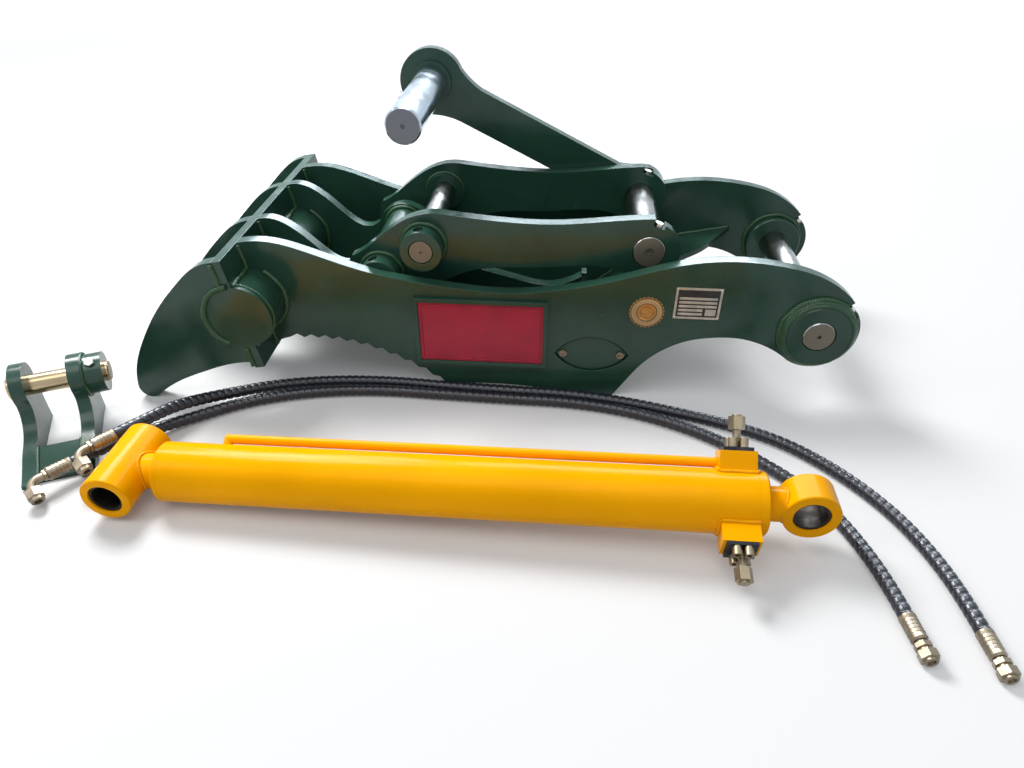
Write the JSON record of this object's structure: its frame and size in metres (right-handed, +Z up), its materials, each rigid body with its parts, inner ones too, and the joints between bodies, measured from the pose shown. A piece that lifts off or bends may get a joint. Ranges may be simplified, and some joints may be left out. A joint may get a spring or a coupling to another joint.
{
  "type": "hydraulic excavator thumb",
  "caption": "Excavator thumb kit: toothed frame with hooked tines, swinging link and arm on pins, hydraulic cylinder, weld-on cylinder bracket and guarded hoses.",
  "frame": {"origin": "on the floor, under the middle of the kit's box without its hoses", "axes": "+X from the tine tips to the main pin, +Y from the cylinder to the far side of the thumb, +Z up"},
  "size_m": [1.7306, 1.2204, 0.6129],
  "materials": {
    "green_paint": "dark gloss",
    "yellow_paint": "gloss",
    "pin_steel": "ground",
    "plated_steel": "zinc plated",
    "black_steel": "black oxide",
    "red_panel": "gloss",
    "plate_alloy": "satin",
    "bush_bronze": "bronze",
    "hard_chrome": "polished",
    "machined_steel": "machined",
    "seal_rubber": "matte",
    "hose_guard": "satin"
  },
  "bodies": {
    "thumb_and_kit": {"arch_plate": "green_paint", "back_hose": "hose_guard", "badge_frame": "green_paint", "badge_panel": "red_panel", "base_eye": "yellow_paint", "base_eye_bush": "bush_bronze", "bracket_collar": "green_paint", "bracket_ears": "green_paint", "bracket_lock_bolt": "plated_steel", "bracket_pin": "pin_steel", "bracket_web": "green_paint", "cylinder_barrel": "yellow_paint", "cylinder_base_cap": "yellow_paint", "cylinder_gland": "yellow_paint", "data_plate": "plate_alloy", "far_side_plate": "green_paint", "front_hose": "hose_guard", "grip_plate": "green_paint", "heel_cover": "green_paint", "heel_cover_bolts": "plated_steel", "hose_elbows": "plated_steel", "hose_end_fittings": "plated_steel", "inner_ribs": "green_paint", "link_pivot_tube": "green_paint", "lower_cross_plate": "green_paint", "main_pin": "pin_steel", "main_pin_lock_bolts": "plated_steel", "main_pivot_bosses": "green_paint", "near_side_plate": "green_paint", "port_blocks": "yellow_paint", "port_bolts": "plated_steel", "port_fittings": "plated_steel", "port_flanges": "black_steel", "tine_1": "green_paint", "tine_2": "green_paint", "tine_3": "green_paint", "tine_4": "green_paint", "torque_tube": "green_paint", "transfer_pipe": "yellow_paint", "tube_end_caps": "green_paint", "upper_cross_plate": "green_paint"},
    "link": {"near_link_plate": "green_paint", "far_link_plate": "green_paint", "link_collars": "green_paint", "cylinder_pin_spacers": "green_paint", "link_pivot_pin": "pin_steel", "cylinder_pin": "pin_steel", "collar_lock_bolts": "black_steel", "arm_hinge_pin": "pin_steel", "link_lock_bolts": "plated_steel"},
    "arm": {"arm_plate": "green_paint", "arm_pin": "pin_steel", "arm_pin_washer": "green_paint", "arm_lock_bolt": "plated_steel"},
    "cylinder_rod": {"piston_rod": "hard_chrome", "piston": "machined_steel", "piston_seal": "seal_rubber", "piston_nut": "machined_steel", "rod_eye": "yellow_paint", "rod_eye_bush": "bush_bronze"}
  },
  "joints": [
    {"name": "link_swing", "type": "hinge", "parent": "thumb_and_kit", "child": "link", "pos_m": [-0.137, 0.227, 0.241], "axis": [0, -1, 0], "range_deg": [0, 65]},
    {"name": "arm_swing", "type": "hinge", "parent": "link", "child": "arm", "pos_m": [0.408, 0.227, 0.306], "axis": [0, -1, 0], "range_deg": [-145, 12]},
    {"name": "rod_slide", "type": "slide", "parent": "thumb_and_kit", "child": "cylinder_rod", "axis": [0.9991, -0.0297, 0.0297], "range_m": [0, 0.78]}
  ]
}
